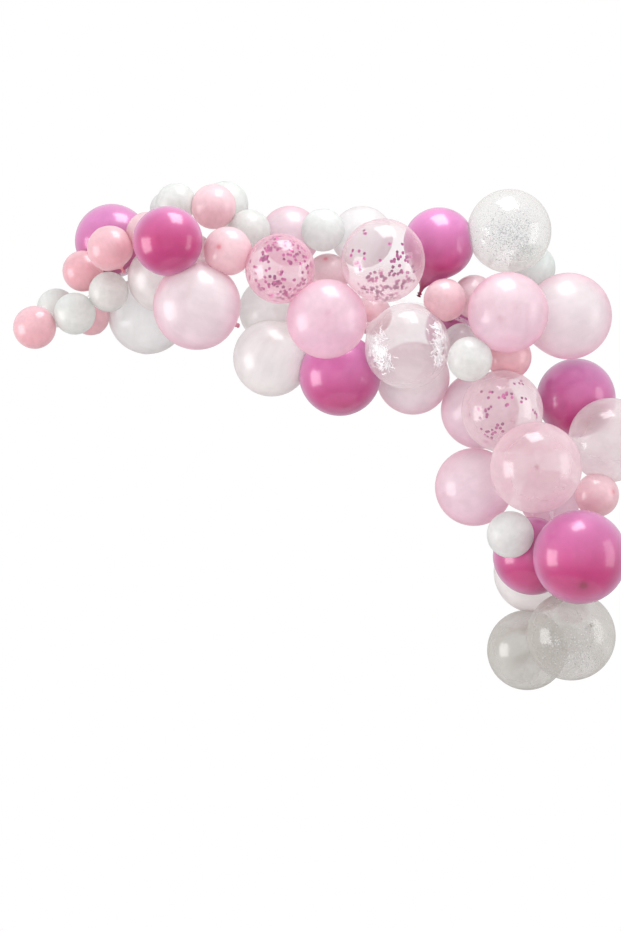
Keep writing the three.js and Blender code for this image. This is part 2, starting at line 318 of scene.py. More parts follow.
def side_axes(way):
    """Two directions square to way and to each other."""
    guide = np.array((0.0, 0.0, 1.0)) if abs(way[2]) < 0.9 else np.array((1.0, 0.0, 0.0))
    a = np.cross(guide, way)
    a /= np.linalg.norm(a)
    return a, np.cross(way, a)


def contact_planes(balloon):
    """Where the balloon presses on its neighbours: (way, distance from its middle) of each plane."""
    planes = []
    for other in BALLOONS.values():
        between = other.centre - balloon.centre
        apart = np.linalg.norm(between)
        if other is balloon or apart > balloon.reach + other.reach:
            continue
        at = (apart**2 + balloon.radius**2 - other.radius**2) / (2 * apart)
        planes.append((between / apart, at - sizes().gap / 2))
    return planes


def pressed(points, planes, softness):
    """The points drawn in towards the middle where a plane stops them, with a soft edge."""
    far = np.linalg.norm(points, axis=1)
    way = points / np.maximum(far, 1e-9)[:, None]
    total = np.ones(len(points))
    for normal, distance in planes:
        facing = way @ normal
        limit = np.where(facing > 1e-3, distance / np.maximum(facing, 1e-3), 1e3)
        total += np.exp(np.clip((far - limit) / softness, -60, 60))
    return way * np.maximum(far - softness * np.log(total), 0.2 * far)[:, None]


def wobbled(unit, seed):
    """A slow, smooth unevenness over a sphere, from -1 to 1."""
    rng = np.random.default_rng(seed)
    total = np.zeros(len(unit))
    for _ in range(5):
        total += np.sin(unit @ rng.normal(0, 1.6, 3) + rng.uniform(0, 2 * math.pi))
    return total / 5


# The haze of each see-through balloon: how much there is, how much more at the bottom, and how light it is
HAZES = {
    "clear_confetti_1": (0.38, 0.12, 0.12),
    "clear_confetti_2": (0.12, 0.46, 0.2),
    "clear_confetti_3": (0.42, 0.1, 0.5),
    "clear_glitter_1": (0.24, 0.12, 0.45),
    "clear_glitter_2": (0.5, 0.0, 0.0),
    "clear_pearl_1": (0.5, 0.1, 0.6),
    "clear_pearl_2": (0.6, 0.0, 0.35),
    "clear_pearl_3": (0.56, 0.0, 0.0),
    "clear_shred_1": (0.34, 0.0, 0.75),
}
# How much more haze the far side has than the middle, and how much less the near side
HAZE_BEHIND = 0.6
# How much of the thick look of a neck a see-through balloon has
CLEAR_THICK = 0.5

# How far a tied knot is squashed one way, and how deep its folds and the neck's pleats are, as shares
KNOT_SQUASH = 0.16
KNOT_FOLD = 0.07
PLEATS = 9
PLEAT_DEPTH = 0.035
# How far the thick spot on the crown stands out, in metres, and the paler ring round it
CROWN_RISE = 0.0011
HALO = 0.35
HALO_SIZE = 2.6
# Where the latex starts to thicken towards the neck, as a share of the radius
TAIL_FROM = 0.72
# How much wider the thick spot is on a large balloon
LARGE_SPOT = 1.8
# How plainly the thick spot on the crown shows, where it is seen
CROWN_SPOTS = {"hot_pink_6": 1.0, "small_pink_7": 0.9, "small_pink_8": 0.9, "small_pink_13": 0.7}
FAINT_CROWN = 0.12


def balloon_mesh(balloon):
    """The envelope as a mesh, with what its material needs to know at each point."""
    detail = bpy.context.scene.garland_detail
    around = detail.small_around if balloon.small else detail.large_around
    rows = detail.body_rows
    line, body_start = outline(balloon, rows)
    way = balloon.neck_way
    side, up = side_axes(way)
    count = len(line)
    turn = np.linspace(0, 2 * math.pi, around, endpoint=False)
    radius = np.repeat(line[:, 0], around)
    height = np.repeat(line[:, 1], around)
    row = np.repeat(np.arange(count), around)
    turn = np.tile(turn, count)
    phase = balloon.seed % 7
    # A tied knot is squashed one way, and the neck above it has pleats
    knot_share = eased((body_start - 6 - row) / 10)
    folds = KNOT_SQUASH * np.cos(2 * turn + phase) + KNOT_FOLD * np.cos(5 * turn)
    radius = radius * (1 + knot_share * folds)
    pleats = np.exp(-(((row - body_start + rows // 4) / (rows / 9)) ** 2))
    radius = radius * (1 + PLEAT_DEPTH * pleats * np.cos(PLEATS * turn + phase))
    ring = np.cos(turn)[:, None] * side + np.sin(turn)[:, None] * up
    points = radius[:, None] * ring + height[:, None] * way
    far = np.linalg.norm(points, axis=1)
    unit = points / np.maximum(far, 1e-9)[:, None]
    on_body = eased((row - body_start) / 6 + 1)
    from_crown = np.arccos(np.clip(-(unit @ way), -1, 1)) * balloon.radius
    spot_size = sizes().crown_spot * (1.0 if balloon.small else LARGE_SPOT)
    crown = np.exp(-((from_crown / spot_size) ** 2))
    uneven = on_body * sizes().wobble * wobbled(unit, balloon.seed)
    grown = 1 + uneven + CROWN_RISE / balloon.radius * crown
    points = pressed(points * grown[:, None], contact_planes(balloon), sizes().press_softness)
    tail = eased((height / balloon.radius - TAIL_FROM) / (balloon.reach / balloon.radius - TAIL_FROM))
    halo = HALO * np.exp(-((from_crown / (HALO_SIZE * spot_size)) ** 2))
    faint = 0.0 if balloon.node in HAZES else FAINT_CROWN
    spot = CROWN_SPOTS.get(balloon.node, faint) * (crown + halo)
    thick = np.clip(np.maximum(tail, spot), 0, 1) * (CLEAR_THICK if balloon.node in HAZES else 1)

    skin = np.stack([unit @ side, unit @ up, unit @ way], axis=1) + 3.7 * (balloon.seed % 13)
    # The last row is one point, the middle of the crown
    last, crown_point = (count - 2) * around, (count - 1) * around
    points, skin, thick = (np.concatenate([part[:crown_point], part[-1:]]) for part in (points, skin, thick))
    points = points + balloon.centre
    amount, pool, light = HAZES.get(balloon.node, (0.0, 0.0, 0.0))
    drop = (balloon.centre[2] - points[:, 2]) / balloon.radius
    behind = (points[:, 1] - balloon.centre[1]) / balloon.radius
    # lift, the height on the balloon, is what the latex uses for its painted top light
    flat = {
        "tone": np.full(len(thick), balloon.tone),
        "lift": -drop,
        "haze": amount * (1 + HAZE_BEHIND * behind) + pool * eased((drop + 0.1) / 0.8),
        "light": np.full(len(thick), light),
    }
    faces = []
    for i in range(count - 2):
        a, b = i * around, (i + 1) * around
        faces += [(b + k, b + (k + 1) % around, a + (k + 1) % around, a + k) for k in range(around)]
    faces += [(crown_point, last + (k + 1) % around, last + k) for k in range(around)]
    faces.append(tuple(range(around)))
    return points, faces, {"skin": skin, "thick": thick, **flat}


def mesh_object(name, points, faces, attributes=None, smooth=True):
    """A mesh object from arrays, with point attributes."""
    mesh = bpy.data.meshes.new(name)
    mesh.from_pydata([tuple(p) for p in points], [], faces)
    for key, values in (attributes or {}).items():
        vector = np.ndim(values) == 2
        layer = mesh.attributes.new(key, "FLOAT_VECTOR" if vector else "FLOAT", "POINT")
        layer.data.foreach_set("vector" if vector else "value", np.asarray(values, np.float32).ravel())
    mesh.validate()
    mesh.update()
    if smooth:
        mesh.polygons.foreach_set("use_smooth", [True] * len(mesh.polygons))
    piece = bpy.data.objects.new(name, mesh)
    bpy.context.scene.collection.objects.link(piece)
    return piece


def blow_up(balloons, material, slot):
    """Makes each balloon, in its place, from one material."""
    if not balloons:
        raise RuntimeError("the frame has no balloon for " + slot)
    for balloon in balloons:
        points, faces, attributes = balloon_mesh(balloon)
        piece = mesh_object("balloon_" + balloon.node, points, faces, attributes)
        piece.data.materials.append(material)
        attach(piece, BODY)
        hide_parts(balloon.node)


# Materials


def add_node(tree, kind, inputs=None, **options):
    """A shader node with its options and its inputs, which are values or other nodes' outputs."""
    node = tree.nodes.new("ShaderNode" + kind)
    for key, value in options.items():
        setattr(node, key, value)
    for key, value in (inputs or {}).items():
        if isinstance(value, bpy.types.NodeSocket):
            tree.links.new(value, node.inputs[key])
        else:
            node.inputs[key].default_value = value
    return node


class Nodes:
    """Short calls for building a material's node tree."""

    def __init__(self, name):
        self.material = bpy.data.materials.new(name)
        self.material.use_nodes = True
        self.tree = self.material.node_tree
        self.tree.nodes.clear()

    def add(self, kind, inputs=None, **options):
        return add_node(self.tree, kind, inputs, **options)

    def attribute(self, name, output="Fac"):
        return self.add("Attribute", attribute_name=name).outputs[output]

    def blend(self, factor, a, b):
        """A colour between a and b."""
        return self.add("Mix", {0: factor, 6: a, 7: b}, data_type="RGBA").outputs[2]

    def math(self, operation, *values, clamp=False):
        """One step of arithmetic."""
        return self.add("Math", dict(enumerate(values)), operation=operation, use_clamp=clamp).outputs[0]

    def facing(self):
        """How far the surface turns from the viewer, from 0 head on to 1 at the edge."""
        return self.add("LayerWeight", {"Blend": 0.5}).outputs["Facing"]

    def bump(self, height, strength, distance):
        inputs = {"Height": height, "Strength": strength, "Distance": distance}
        return self.add("Bump", inputs).outputs["Normal"]

    def mixed(self, factor, a, b):
        """A surface between a and b."""
        return self.add("MixShader", {0: factor, 1: a, 2: b}).outputs[0]

    def glowing(self, amount, surface, tint):
        """The surface with light that comes through it."""
        return self.mixed(amount, surface, self.add("BsdfTranslucent", {"Color": tint}).outputs[0])

    def thinned(self, amount, surface):
        """The surface, open where amount is less than 1."""
        return self.mixed(amount, self.add("BsdfTransparent").outputs[0], surface)

    def ranged(self, value, low, high, to_low, to_high):
        """The value taken from one range to another."""
        return self.add(
            "MapRange",
            {"Value": value, "From Min": low, "From Max": high, "To Min": to_low, "To Max": to_high},
            interpolation_type="SMOOTHSTEP",
        ).outputs["Result"]

    def noise(self, scale, detail, stretch=(1, 1, 1)):
        """Noise over the skin of a balloon, stretched by different scales across and along it."""
        skin = self.attribute("skin", "Vector")
        placed = self.add("Mapping", {"Vector": skin, "Scale": stretch}).outputs["Vector"]
        return self.add("TexNoise", {"Vector": placed, "Scale": scale, "Detail": detail}).outputs["Fac"]

    def finish(self, surface):
        self.add("OutputMaterial", {"Surface": surface})
        return self.material


def rgba(value):
    return (*value, 1.0)


# How much lighter or darker the clouds and streaks make the latex
MOTTLING = 0.06
# The refraction of the wet-looking skin, and how rough its reflections are on see-through latex
COAT_IOR = 1.75
CLEAR_ROUGH = 0.17
# How much of the haze of see-through latex is light that comes through it
HAZE_GLOW = 0.45


def skin_colour(nodes, pale, full, edge, thick, painted_top_light):
    """Latex colour: from pale to full by the balloon's tone, and painted light that makes it paler towards
    the top, where the light falls on it. Another colour at the edge: deeper where one looks through more
    latex, and on the hot pink and the small pink a paler rim that is painted sheen. Slow clouds and fine
    streaks along the balloon, and deeper where the latex is thick."""
    slant = nodes.ranged(nodes.facing(), 0.25, 1.0, 0.0, 0.8)
    # Painted top light: the colour goes towards the pale one as the height on the balloon rises, by the given
    # share
    depth = nodes.math("MULTIPLY_ADD", nodes.attribute("lift"), -painted_top_light, nodes.attribute("tone"), clamp=True)
    middle = nodes.blend(depth, rgba(pale), rgba(full))
    # The edge colour is a paler rim of painted sheen on the hot pink and the small pink, and the deeper
    # colour of more latex on the pearl pink
    body = nodes.blend(slant, middle, rgba(edge))
    clouds = nodes.noise(1.7, 3.0)
    streaks = nodes.noise(5.0, 3.0, (1.0, 1.0, 0.28))
    both = nodes.blend(0.45, clouds, streaks)
    value = nodes.ranged(both, 0.33, 0.67, 1 - MOTTLING, 1 + MOTTLING)
    clouded = nodes.add("HueSaturation", {"Color": body, "Value": value}).outputs["Color"]
    return nodes.blend(nodes.attribute("thick"), clouded, rgba(thick))


def skin_bump(nodes):
    """The faint orange-peel of stretched latex."""
    return nodes.bump(nodes.noise(26.0, 3.0), 0.05, 0.001)


def latex(name, tint, pearl, rough, glow, coat=0.8, coat_rough=0.13, sheen=1.5, opacity=1.0, painted_top_light=0.3):
    """Stretched latex: pigment and pearl flakes under a wet-looking skin. glow is the light through it, and
    opacity how much it hides head on. It hides more at the edge, where one looks through more of it. The last
    argument is how strongly painted top light makes the colour paler towards the top."""
    nodes = Nodes(name)
    c = colours()
    tints = [getattr(c, tint + part) for part in ("_pale", "", "_edge", "_thick")]
    paint = skin_colour(nodes, *tints, painted_top_light)
    uneven = nodes.ranged(nodes.noise(3.0, 2.0), 0.3, 0.7, rough - 0.05, rough + 0.05)
    normal = skin_bump(nodes)
    skin = nodes.add(
        "BsdfPrincipled",
        {
            "Base Color": paint,
            "Metallic": pearl,
            "Roughness": uneven,
            "Normal": normal,
            "Coat Weight": coat,
            "Coat Roughness": coat_rough,
            "Coat IOR": COAT_IOR,
            "IOR": sheen,
        },
    ).outputs[0]
    skin = nodes.glowing(glow, skin, paint)
    if opacity < 1:
        at_edge = min(1.0, opacity + 0.45 * (1 - opacity) + 0.2)
        skin = nodes.thinned(nodes.ranged(nodes.facing(), 0.0, 0.95, opacity, at_edge), skin)
    return nodes.finish(skin)


def clear_latex(name, rim):
    """See-through latex: a haze that thickens towards the edge, where one looks through more of it, under a
    wet-looking skin."""
    nodes = Nodes(name)
    c = colours()
    toned = nodes.blend(nodes.attribute("tone"), rgba(c.haze), rgba(c.haze_pink))
    tint = nodes.blend(nodes.attribute("light"), toned, rgba(c.haze_light))
    patches = nodes.noise(2.2, 3.0, (1.0, 1.0, 0.5))
    facing = nodes.facing()
    edge = nodes.math("POWER", facing, 2.2)
    thin = nodes.ranged(edge, 0.0, 1.0, nodes.attribute("haze"), rim)
    uneven = nodes.ranged(patches, 0.3, 0.7, 0.85, 1.15)
    amount = nodes.math("MULTIPLY", thin, uneven, clamp=True)
    thickened = nodes.math("MAXIMUM", amount, nodes.attribute("thick"))
    dull = {"Base Color": tint, "Roughness": 0.4, "Specular IOR Level": 0.2}
    body = nodes.add("BsdfPrincipled", dull).outputs[0]
    film = nodes.thinned(thickened, nodes.glowing(HAZE_GLOW, body, tint))
    gloss = nodes.add("BsdfGlossy", {"Roughness": CLEAR_ROUGH}).outputs[0]
    outside = nodes.ranged(nodes.math("POWER", facing, 5.0), 0.0, 1.0, 0.08, 0.45)
    # The inner side shines a quarter as much as the outer
    inner = nodes.add("NewGeometry").outputs["Backfacing"]
    shine = nodes.math("MULTIPLY", nodes.math("MULTIPLY_ADD", inner, -0.75, 1.0), outside)
    return nodes.finish(nodes.mixed(shine, film, gloss))


def foil(name, tint, metal, rough, glow=0.0, opacity=1.0, painted_glow=0.0):
    """Metallic tissue, each piece of its own brightness, or plain thin tissue that light glows through. It
    can also give off painted light in its own colour, as if lit from within.
    """
    nodes = Nodes(name)
    own = nodes.attribute("own")
    darker = tuple(0.6 * c for c in tint)
    paler = tuple(min(1.0, 1.5 * c + 0.03) for c in tint)
    varied = nodes.blend(own, rgba(darker), rgba(paler))
    creased = nodes.add("TexNoise", {"Scale": 900.0, "Detail": 2.0}).outputs["Fac"]
    skin = nodes.add(
        "BsdfPrincipled",
        {
            "Base Color": varied,
            "Metallic": metal,
            "Roughness": rough,
            "Normal": nodes.bump(creased, 0.3, 0.0004),
            # Painted light: the tissue gives off light of its own colour, though it is no lamp
            "Emission Color": rgba(tint),
            "Emission Strength": painted_glow,
        },
    ).outputs[0]
    if glow:
        skin = nodes.glowing(glow, skin, varied)
    if opacity < 1:
        skin = nodes.thinned(opacity, skin)
    return nodes.finish(skin)


def pressed_plastic(name, tint):
    """Clear pressed plastic with faint draw lines."""
    nodes = Nodes(name)
    place = nodes.add("TexCoord").outputs["Object"]
    lines = nodes.add("TexNoise", {"Vector": place, "Scale": 160.0, "Detail": 3.0}).outputs["Fac"]
    body = nodes.add(
        "BsdfPrincipled",
        {
            "Base Color": rgba(tint),
            "Roughness": nodes.ranged(lines, 0.3, 0.7, 0.1, 0.25),
            "Alpha": 0.18,
            "Normal": nodes.bump(lines, 0.15, 0.0006),
        },
    ).outputs[0]
    return nodes.finish(body)


# Confetti


# How far inside the latex each kind of confetti lies, in metres
DOT_INSET = 0.002
BIT_INSET = 0.0035
SHRED_INSET = 0.005
# Other measures, in metres
FLAKE_THICKNESS = 0.0001
SHRED_HALF_WIDTH = 0.0013
SHRED_HALF_THICKNESS = 0.00008
SHRED_CRINKLE = 0.0022
SHRED_STEPS = 9
DOT_SIDES = 10


def tangent_frame(way, spin):
    """Two directions in the plane square to way, turned by spin."""
    a, b = side_axes(way)
    return math.cos(spin) * a + math.sin(spin) * b, math.cos(spin) * b - math.sin(spin) * a


def spots_to_places(balloon, spots, rng, inset):
    """Places on the inside of a balloon. A spot is (right, up, front or back, spread, how many), in shares of
    the radius as the balloon is seen from the front."""
    places = []
    planes = [(normal, distance - inset) for normal, distance in contact_planes(balloon)]
    for across, up, side, spread, count in spots:
        made = 0
        while made < count:
            x = across + rng.gauss(0, spread)
            z = up + rng.gauss(0, spread)
            flat = x * x + z * z
            if flat > 0.97:
                continue
            y = math.sqrt(1 - flat) * side
            way = np.array((x, y, z))
            made += 1
            if way @ balloon.neck_way > 0.75:
                # Too near the neck, where the latex isn't round
                continue
            spot = pressed((way * (balloon.radius - inset))[None], planes, 0.0008)[0]
            places.append((spot + balloon.centre, way))
    return places


class Flakes:
    """Collects thin closed flakes into one mesh."""

    def __init__(self):
        self.points, self.faces, self.own = [], [], []

    def add(self, middle, way, outline_points, rng, tilt):
        """One flat flake with this outline, nearly square to way."""
        lean = np.array([rng.gauss(0, tilt) for _ in range(3)])
        normal = way + lean
        normal /= np.linalg.norm(normal)
        a, b = tangent_frame(normal, rng.uniform(0, 2 * math.pi))
        start, count = len(self.points), len(outline_points)
        for level in (-0.5, 0.5):
            for x, y in outline_points:
                self.points.append(middle + x * a + y * b - level * FLAKE_THICKNESS * normal)
        self.faces.append(tuple(range(start, start + count)))
        self.faces.append(tuple(reversed(range(start + count, start + 2 * count))))
        for k in range(count):
            n = (k + 1) % count
            self.faces.append((start + n, start + k, start + count + k, start + count + n))
        self.own += [rng.random()] * (2 * count)

    def piece(self, name, material, slot):
        made = mesh_object(name, self.points, self.faces, {"own": self.own}, smooth=False)
        made.data.materials.append(material)
        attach(made, BODY)


def disc(radius):
    turn = [2 * math.pi * k / DOT_SIDES for k in range(DOT_SIDES)]
    return [(radius * math.cos(t), radius * math.sin(t)) for t in turn]


def round_dots(balloon, spots, material):
    """Round paper dots that cling to the inside of a clear balloon."""
    rng = random.Random(balloon.seed)
    flakes = Flakes()
    for middle, way in spots_to_places(balloon, spots, rng, DOT_INSET):
        radius = sizes().dot * rng.uniform(0.86, 1.08)
        flakes.add(middle, way, disc(radius), rng, tilt=0.1)
    flakes.piece("dots_in_" + balloon.node, material, "pink_confetti")


def fine_bits(balloon, spots, material):
    """Fine slivers and squares of silver tissue, most of them lying in the lower half."""
    rng = random.Random(balloon.seed)
    flakes = Flakes()
    for middle, way in spots_to_places(balloon, spots, rng, BIT_INSET):
        long = sizes().sparkle * rng.uniform(0.5, 1.1)
        wide = long * rng.uniform(0.3, 0.9)
        sliver = [(-long, -wide), (long, -0.8 * wide), (0.9 * long, wide), (-long, wide)]
        flakes.add(middle, way, sliver, rng, tilt=0.35)
    flakes.piece("bits_in_" + balloon.node, material, "silver_confetti")


def paper_shreds(balloon, spots, material):
    """Crinkled strips of white tissue along the sides of a clear balloon."""
    rng = random.Random(balloon.seed)
    points, faces, own = [], [], []
    for middle, way in spots_to_places(balloon, spots, rng, SHRED_INSET):
        a, b = tangent_frame(way, rng.gauss(0.4, 0.7))
        run, half = sizes().shred * rng.uniform(0.6, 1.3), SHRED_HALF_WIDTH * rng.uniform(0.8, 1.4)
        start, tone = len(points), rng.random()
        bend, swing = rng.uniform(-0.5, 0.5), rng.uniform(0, 6)
        for k in range(SHRED_STEPS):
            t = k / (SHRED_STEPS - 1) - 0.5
            zig = SHRED_CRINKLE * (1 if k % 2 else -1)
            at = middle + t * run * b + (bend * t * t * run + 0.1 * run * math.sin(6 * t + swing)) * a
            at = at - way * (run * run * t * t / (2 * balloon.radius) + 0.002 + zig)
            across = a * math.cos(2 * t) + way * math.sin(2 * t)
            for side, level in ((-1, -1), (1, -1), (1, 1), (-1, 1)):
                points.append(at + side * half * across + level * SHRED_HALF_THICKNESS * way)
        for k in range(SHRED_STEPS - 1):
            p, q = start + 4 * k, start + 4 * (k + 1)
            faces += [(q + j, q + (j + 1) % 4, p + (j + 1) % 4, p + j) for j in range(4)]
        faces.append((start, start + 1, start + 2, start + 3))
        end = start + 4 * (SHRED_STEPS - 1)
        faces.append((end + 3, end + 2, end + 1, end))
        own += [tone] * (4 * SHRED_STEPS)
    made = mesh_object("shreds_in_" + balloon.node, points, faces, {"own": own}, smooth=False)
    made.data.materials.append(material)
    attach(made, BODY)


FRONT, BACK = -1, 1

# Where the round dots gather in each clear balloon: (right, up, front or back, spread, how many)
DOT_SPOTS = {
    "clear_confetti_1": [
        (-0.2, 0.76, FRONT, 0.1, 9),
        (0.3, 0.82, FRONT, 0.12, 5),
        (-0.32, 0.45, FRONT, 0.1, 11),
        (-0.4, 0.2, FRONT, 0.08, 7),
        (0.68, 0.46, FRONT, 0.13, 9),
        (0.85, 0.05, FRONT, 0.08, 5),
        (0.4, 0.15, FRONT, 0.12, 5),
        (0.0, -0.42, FRONT, 0.1, 6),
        (0.15, -0.72, FRONT, 0.18, 16),
        (-0.4, -0.5, FRONT, 0.16, 7),
        (-0.44, 0.23, FRONT, 0.06, 7),
        (0.33, 0.1, FRONT, 0.02, 2),
        (-0.11, -0.46, FRONT, 0.06, 8),
        (0.0, 0.1, FRONT, 0.3, 14),
        (0.6, -0.2, BACK, 0.25, 32),
        (-0.5, 0.0, BACK, 0.3, 34),
        (0.0, 0.3, BACK, 0.4, 50),
        (0.0, -0.5, BACK, 0.35, 50),
    ],
    "clear_confetti_2": [
        (-0.45, 0.62, FRONT, 0.05, 3),
        (-0.62, 0.0, FRONT, 0.13, 8),
        (0.16, 0.34, FRONT, 0.02, 1),
        (0.3, 0.04, FRONT, 0.1, 9),
        (0.55, 0.02, FRONT, 0.09, 8),
        (0.4, -0.4, FRONT, 0.13, 14),
        (-0.1, -0.56, FRONT, 0.2, 20),
        (-0.4, -0.62, FRONT, 0.13, 9),
        (0.2, -0.85, FRONT, 0.16, 16),
        (-0.15, -0.8, FRONT, 0.16, 12),
        (0.55, -0.55, FRONT, 0.1, 8),
        (0.0, -0.62, FRONT, 0.22, 22),
        (0.0, -0.7, BACK, 0.3, 90),
        (0.4, -0.2, BACK, 0.3, 24),
    ],
    "clear_confetti_3": [
        (-0.05, 0.36, FRONT, 0.03, 4),
        (0.17, 0.38, FRONT, 0.04, 3),
        (-0.3, 0.42, FRONT, 0.08, 4),
        (0.04, 0.12, FRONT, 0.05, 2),
        (0.38, 0.66, FRONT, 0.09, 4),
        (0.42, 0.3, FRONT, 0.06, 3),
        (0.78, -0.05, FRONT, 0.06, 4),
        (-0.38, -0.1, FRONT, 0.1, 5),
        (-0.36, -0.64, FRONT, 0.07, 12),
        (-0.12, -0.4, FRONT, 0.1, 5),
        (-0.2, 0.2, BACK, 0.3, 10),
        (0.2, -0.3, BACK, 0.35, 12),
    ],
}

# Where the fine bits gather, in the same terms
BIT_SPOTS = {
    "clear_glitter_1": [
        (0.1, -0.1, FRONT, 0.36, 460),
        (0.0, -0.45, FRONT, 0.34, 620),
        (-0.3, -0.3, FRONT, 0.3, 260),
        (-0.1, -0.1, BACK, 0.42, 360),
        (0.0, -0.5, BACK, 0.36, 480),
    ],
    "clear_glitter_2": [
        (0.3, 0.0, FRONT, 0.3, 300),
        (0.1, -0.4, FRONT, 0.3, 320),
        (-0.45, -0.1, FRONT, 0.12, 120),
        (0.0, 0.0, BACK, 0.42, 300),
        (0.1, -0.5, BACK, 0.34, 260),
    ],
}

# Where the shreds gather, in the same terms
SHRED_SPOTS = {
    "clear_shred_1": [
        (-0.78, -0.1, FRONT, 0.12, 96),
        (-0.74, 0.3, FRONT, 0.11, 48),
        (-0.62, -0.45, FRONT, 0.12, 44),
        (0.8, 0.1, FRONT, 0.11, 64),
        (0.76, -0.36, FRONT, 0.08, 34),
        (0.7, 0.42, FRONT, 0.09, 30),
        (-0.85, 0.0, BACK, 0.1, 40),
        (0.85, -0.1, BACK, 0.1, 40),
    ],
}


# The strip


def strip_holes():
    """The middle and radius of each punched hole, from the frame's own strip."""
    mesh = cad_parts[STRIP].data
    places = {}
    for v in mesh.vertices:
        places.setdefault(tuple(round(c, 5) for c in v.co), []).append(v.index)
    same = {i: k for k, group in enumerate(places.values()) for i in group}
    walls = {}
    for p in mesh.polygons:
        if abs(p.normal.y) < 0.1:
            for i in p.vertices:
                walls.setdefault(same[i], set()).update(same[j] for j in p.vertices)
    corner = [np.array(k) for k in places]
    left, loops = set(walls), []
    while left:
        todo, loop = [left.pop()], set()
        while todo:
            k = todo.pop()
            loop.add(k)
            todo += [n for n in walls[k] if n in left]
            left -= walls[k]
        loops.append(np.array([corner[k] for k in sorted(loop)]))
    holes = []
    for loop in loops:
        middle = loop.mean(0)
        size = np.linalg.norm((loop - middle)[:, [0, 2]], axis=1).max()
        if size < 0.02:
            holes.append((middle, size))
    return holes


def hole_rims():
    """A moulded rim round each punched hole."""
    around, across, tube = 28, 10, sizes().rim
    points, faces = [], []
    for middle, radius in strip_holes():
        start = len(points)
        for i in range(around):
            turn = 2 * math.pi * i / around
            out = np.array((math.cos(turn), 0.0, math.sin(turn)))
            for k in range(across):
                roll = 2 * math.pi * k / across
                rise = np.array((0, 1.1 * tube * math.sin(roll), 0))
                points.append(middle + out * (radius + tube * math.cos(roll)) + rise)
        for i in range(around):
            for k in range(across):
                a, b = start + i * across, start + (i + 1) % around * across
                n = (k + 1) % across
                faces.append((a + n, b + n, b + k, a + k))
    return points, faces


# The stage


def aimed(obj, target):
    """Turns a light or camera towards a point."""
    obj.rotation_euler = (Vector(target) - obj.location).to_track_quat("-Z", "Y").to_euler()


def soft_box(name, place, target, width, height, power):
    """A soft box turned towards a point. The camera doesn't see it."""
    light = bpy.data.lights.new(name, "AREA")
    light.shape = "RECTANGLE"
    light.size, light.size_y = width, height
    light.energy = power
    box = bpy.data.objects.new(name, light)
    box.location = place
    bpy.context.scene.collection.objects.link(box)
    aimed(box, target)
    box.visible_camera = False
    return box


# The light of the room from below and from above
LIGHT_BELOW = (0.58, 0.58, 0.57, 1)
LIGHT_ABOVE = (0.98, 0.99, 1.0, 1)


def white_room(brightness):
    """White surroundings, a little darker as light than they look."""
    world = bpy.data.worlds.new("White Room")
    bpy.context.scene.world = world
    world.use_nodes = True
    tree = world.node_tree
    tree.nodes.clear()
    place = add_node(tree, "TexCoord").outputs["Generated"]
    up = add_node(tree, "SeparateXYZ", {0: place}).outputs["Z"]
    lift = add_node(tree, "MapRange", {"Value": up, "From Min": -1.0}).outputs["Result"]
    ramp = add_node(tree, "ValToRGB", {0: lift})
    stops = ramp.color_ramp.elements
    stops[0].position, stops[0].color = 0.15, LIGHT_BELOW
    stops[1].position, stops[1].color = 0.7, LIGHT_ABOVE
    light = add_node(tree, "Background", {"Color": ramp.outputs[0], "Strength": brightness}).outputs[0]
    seen = add_node(tree, "Background", {"Color": (1.0, 1.0, 1.0, 1.0)}).outputs[0]
    by_camera = add_node(tree, "LightPath").outputs["Is Camera Ray"]
    both = add_node(tree, "MixShader", {0: by_camera, 1: light, 2: seen}).outputs[0]
    add_node(tree, "OutputWorld", {"Surface": both})


def pale_floor(height, radius):
    """A round floor with a softly rounded edge."""
    around = 96
    rings = [(0.5 * radius, 0.0), (0.97 * radius, 0.0), (radius, -0.01), (radius, -0.03)]
    points = [(0.0, 0.0, height)]
    for r, drop in rings:
        for k in range(around):
            turn = 2 * math.pi * k / around
            points.append((r * math.cos(turn), r * math.sin(turn), height + drop))
    faces = [(0, 1 + k, 1 + (k + 1) % around) for k in range(around)]
    for i in range(len(rings) - 1):
        a, b = 1 + i * around, 1 + (i + 1) * around
        faces += [(a + k, b + k, b + (k + 1) % around, a + (k + 1) % around) for k in range(around)]
    floor = mesh_object("pale_floor", points, faces)
    nodes = Nodes("Pale Floor")
    grain = nodes.add("TexNoise", {"Scale": 40.0}).outputs["Fac"]
    tint = nodes.blend(grain, (0.7, 0.7, 0.7, 1), (0.74, 0.74, 0.74, 1))
    floor.data.materials.append(
        nodes.finish(nodes.add("BsdfPrincipled", {"Base Color": tint, "Roughness": 0.7}).outputs[0])
    )


class GARLAND_OT_stage(bpy.types.Operator):
    """Lays the floor, lights the garland and sets up the camera"""

    bl_idname = "garland.stage"
    bl_label = "Set Up Stage"

    def execute(self, context):
        s = context.scene.garland_stage
        sight = Vector((s.sight_across, 0.0, s.sight_up))
        camera = bpy.data.objects.new("Camera", bpy.data.cameras.new("Camera"))
        context.scene.collection.objects.link(camera)
        camera.location = sight - Vector((0.0, s.view_distance, 0.0))
        aimed(camera, sight)
        camera.data.lens = camera.data.sensor_width * s.view_distance / s.view_height
        context.scene.camera = camera
        pale_floor(CAD_LOW.z - s.floor_drop, s.floor_radius)
        middle = (CAD_LOW + CAD_HIGH) / 2
        soft_box("Top Box", (0.15, -0.5, 2.3), (-0.05, 0.0, 0.0), 1.3, 1.7, s.top_light)
        soft_box("Left Box", (-5.3, -1.5, -0.9), middle, 3.2, 3.3, s.left_light)
        soft_box("Right Box", (3.6, -1.2, -0.3), middle, 1.6, 3.0, s.right_light)
        front = soft_box("Front Box", (-0.4, -5.2, -0.9), middle, 3.2, 3.0, s.front_light)
        front.visible_glossy = False
        white_room(s.surroundings)
        context.scene.view_settings.view_transform = "Standard"
        return {"FINISHED"}


# One operator for each kind of balloon


